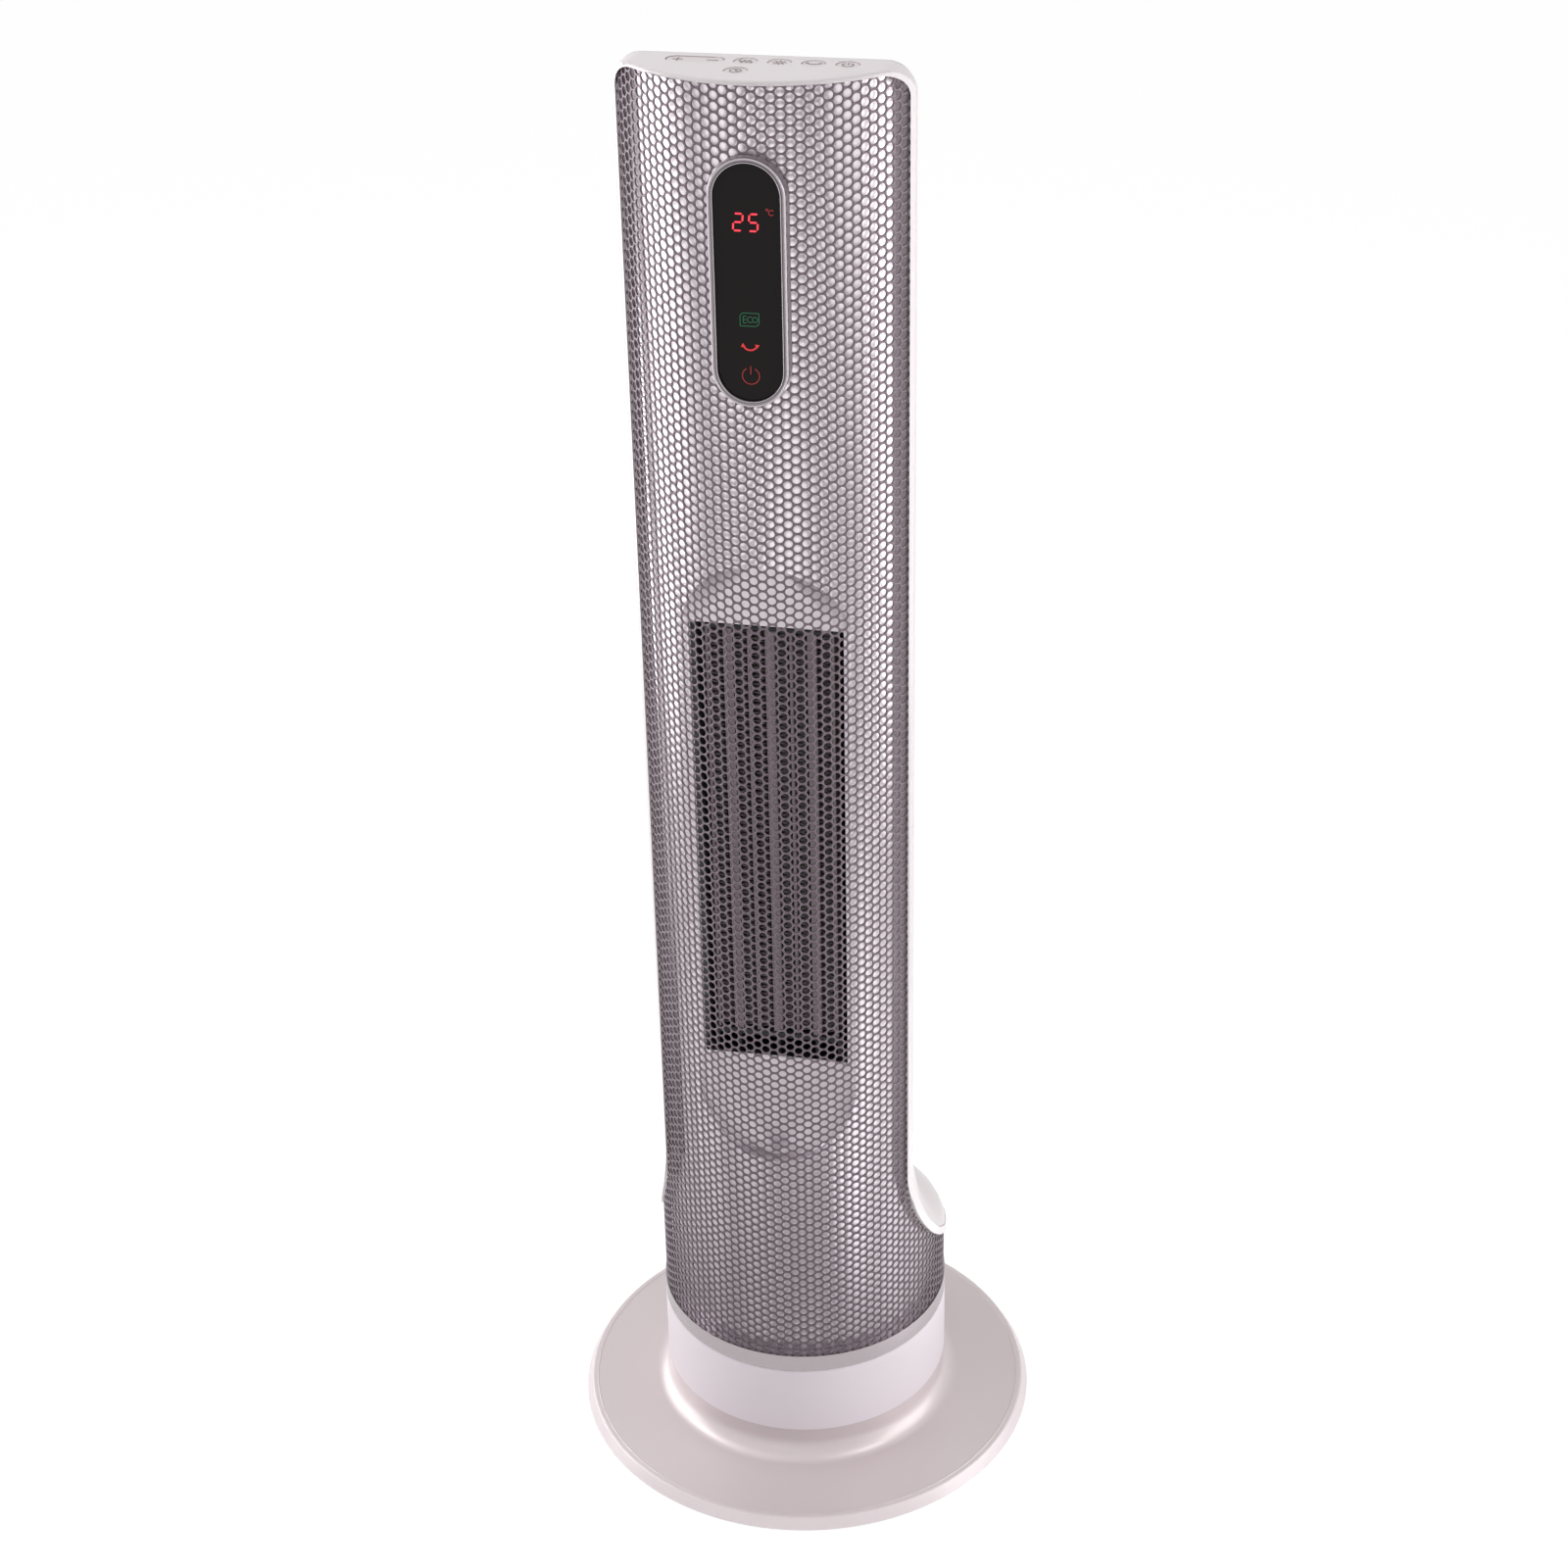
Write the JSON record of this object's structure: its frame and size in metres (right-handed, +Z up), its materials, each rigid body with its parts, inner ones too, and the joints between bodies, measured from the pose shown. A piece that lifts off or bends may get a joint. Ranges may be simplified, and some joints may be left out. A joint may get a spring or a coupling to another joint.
{
  "type": "tower heater",
  "caption": "Tower fan heater with a perforated front and top keys, its body swinging on a round base plate; the cord is left out.",
  "frame": {"origin": "centre of the base plate at floor level, where the feet rest", "axes": "+Z up along the swing axis, -Y towards the front with the outlet and the display, +X to the right seen from behind the front view's viewer, so the keys run along X"},
  "size_m": [0.262, 0.262, 0.8],
  "materials": {
    "housing_white": "glossy white moulding",
    "collar_white": "satin white moulding",
    "plate_pearl": "pearl champagne silver",
    "mesh_silver": "silver grey painted perforated steel",
    "inner_silver": "silver painted moulding behind the mesh",
    "band_silver": "brushed",
    "bezel_silver": "satin chromed ring",
    "lens_black": "glossy black window",
    "key_white": "glossy white key",
    "rubber_dark": "matt",
    "plastic_black": "matt black moulding",
    "plastic_grey": "matt grey moulding",
    "filter_dark": "woven dust filter",
    "steel": "zinc plated steel",
    "ceramic_bar": "heating bars in metal sleeves",
    "fin_metal": "thin heat fins",
    "wheel_grey": "pressed blower wheel",
    "brass": "sintered bush",
    "copper_coil": "lacquered winding",
    "board_green": "printed board",
    "acetal": "slippery acetal"
  },
  "bodies": {
    "base": {"rubber_feet": "rubber_dark", "base_cover": "plastic_black", "base_plate": "plate_pearl", "base_screws": "steel", "collar": "collar_white", "cord_gland": "plastic_black", "pivot_post": "plastic_grey", "post_screws": "steel", "swing_gear": "acetal", "slide_ring": "acetal", "retaining_ring": "steel", "tip_switch": "plastic_black"},
    "tower": {"turntable": "plastic_grey", "trim_band": "band_silver", "swing_motor": "steel", "motor_screws": "steel", "front_frame": "housing_white", "mesh_front": "mesh_silver", "inner_shell": "inner_silver", "rear_shell": "housing_white", "rear_screws": "steel", "rear_grille": "key_white", "dust_filter": "filter_dark", "air_duct": "plastic_grey", "heater_bars": "ceramic_bar", "heater_fins": "fin_metal", "heater_brackets": "plastic_black", "thermal_cutout": "plastic_black", "thermal_fuse": "plastic_grey", "upper_bush": "brass", "motor_core": "steel", "motor_coil": "copper_coil", "motor_straps": "steel", "display_bezel": "bezel_silver", "display_lens": "lens_black", "display_module": "plastic_black", "display_board": "board_green", "key_board": "board_green", "key_switches": "plastic_black", "main_board": "board_green", "board_parts": "plastic_black", "board_screws": "steel", "main_switch": "plastic_black"},
    "blower": {"blower_rotor": "wheel_grey", "blower_shaft": "steel"},
    "swing_pinion": {"swing_pinion": "acetal"},
    "tip_plunger": {"tip_plunger": "acetal"},
    "switch_rocker": {"switch_rocker": "plastic_black"},
    "plus_minus_key": {"plus_minus_key": "key_white"},
    "key_heat": {"key_heat": "key_white"},
    "key_mode": {"key_mode": "key_white"},
    "key_swing": {"key_swing": "key_white"},
    "key_power": {"key_power": "key_white"},
    "key_timer": {"key_timer": "key_white"}
  },
  "joints": [
    {"name": "tower_swing", "type": "hinge", "parent": "base", "child": "tower", "pos_m": [0, 0, 0.07], "axis": [0, 0, 1], "range_deg": [-35, 35]},
    {"name": "pinion_spin", "type": "hinge", "parent": "tower", "child": "swing_pinion", "pos_m": [-0.0375, 0, 0.062], "axis": [0, 0, 1], "range_deg": [-140, 140]},
    {"name": "blower_spin", "type": "hinge", "parent": "tower", "child": "blower", "pos_m": [0, 0.001, 0.4], "axis": [0, 0, 1], "continuous": true},
    {"name": "plus_minus_rock", "type": "hinge", "parent": "tower", "child": "plus_minus_key", "pos_m": [-0.0292, -0.049, 0.795], "axis": [0, 1, 0], "range_deg": [-2.5, 2.5], "stiffness_Nm_per_rad": 0.1},
    {"name": "main_switch_rock", "type": "hinge", "parent": "tower", "child": "switch_rocker", "pos_m": [0, 0.0773, 0.1027], "axis": [1, 0, 0], "range_deg": [0, 16]},
    {"name": "tip_plunger_slide", "type": "slide", "parent": "base", "child": "tip_plunger", "axis": [0, 0, 1], "range_m": [-0.003, 0]},
    {"name": "key_heat_press", "type": "slide", "parent": "tower", "child": "key_heat", "axis": [0, 0, -1], "range_m": [0, 0.0009], "stiffness_N_per_m": 600, "springref_m": -0.0005},
    {"name": "key_mode_press", "type": "slide", "parent": "tower", "child": "key_mode", "axis": [0, 0, -1], "range_m": [0, 0.0009], "stiffness_N_per_m": 600, "springref_m": -0.0005},
    {"name": "key_swing_press", "type": "slide", "parent": "tower", "child": "key_swing", "axis": [0, 0, -1], "range_m": [0, 0.0009], "stiffness_N_per_m": 600, "springref_m": -0.0005},
    {"name": "key_power_press", "type": "slide", "parent": "tower", "child": "key_power", "axis": [0, 0, -1], "range_m": [0, 0.0009], "stiffness_N_per_m": 600, "springref_m": -0.0005},
    {"name": "key_timer_press", "type": "slide", "parent": "tower", "child": "key_timer", "axis": [0, 0, -1], "range_m": [0, 0.0009], "stiffness_N_per_m": 600, "springref_m": -0.0005}
  ],
  "couplings": [
    {"joint": "pinion_spin", "follows": "tower_swing", "ratio": 4}
  ]
}
